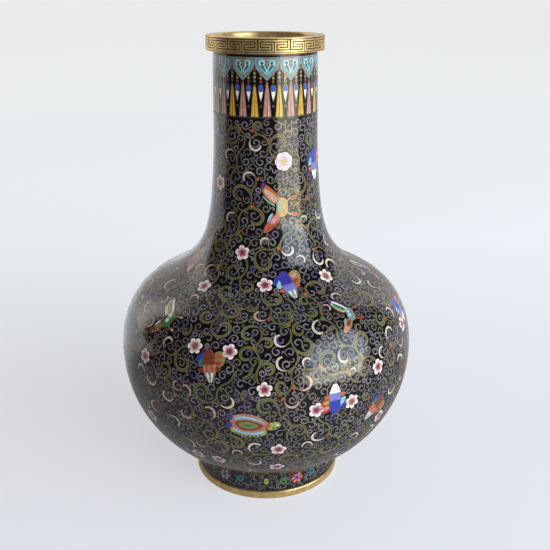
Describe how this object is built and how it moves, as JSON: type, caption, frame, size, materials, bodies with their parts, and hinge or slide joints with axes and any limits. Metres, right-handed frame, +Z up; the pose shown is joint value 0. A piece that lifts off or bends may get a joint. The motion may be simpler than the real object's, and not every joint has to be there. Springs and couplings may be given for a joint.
{
  "type": "cloisonne bottle vase",
  "caption": "Bottle vase with a round belly and a straight neck: brazed copper shells under fired enamel, with gilt brass rims at mouth and foot. Holds water and cut flowers.",
  "frame": {"origin": "centre of the underside of the foot rim, on the vase's axis", "axes": "+Z up along the axis of rotation; +X and +Y are equal, and -Y faces the viewer of the front decoration"},
  "size_m": [0.249, 0.249, 0.38],
  "materials": {
    "gilt_brass": "fire-gilt cast brass, polished, with a darker patina in the engraved grooves",
    "copper": "bare hammered sheet copper, hidden under the enamel",
    "braze": "silver brazing alloy filling the seams, hidden",
    "black_enamel": "opaque black vitreous enamel with coloured cloisons, stoned flat and polished glossy",
    "counter_enamel": "opaque turquoise counter-enamel, fired and left unpolished"
  },
  "bodies": {
    "root": {"mouth_rim": "gilt_brass", "border_top_wire": "gilt_brass", "border_enamel": "black_enamel", "border_bottom_wire": "gilt_brass", "field_enamel": "black_enamel", "neck_shell": "copper", "neck_seam_braze": "braze", "shoulder_shell": "copper", "belly_seam_braze": "braze", "belly_shell": "copper", "lining_enamel": "counter_enamel", "base_plate": "copper", "base_seam_braze": "braze", "base_enamel": "counter_enamel", "foot_seam_braze": "braze", "foot_ring": "copper", "foot_top_wire": "gilt_brass", "foot_enamel": "black_enamel", "foot_bottom_wire": "gilt_brass", "foot_rim": "gilt_brass"}
  },
  "joints": []
}
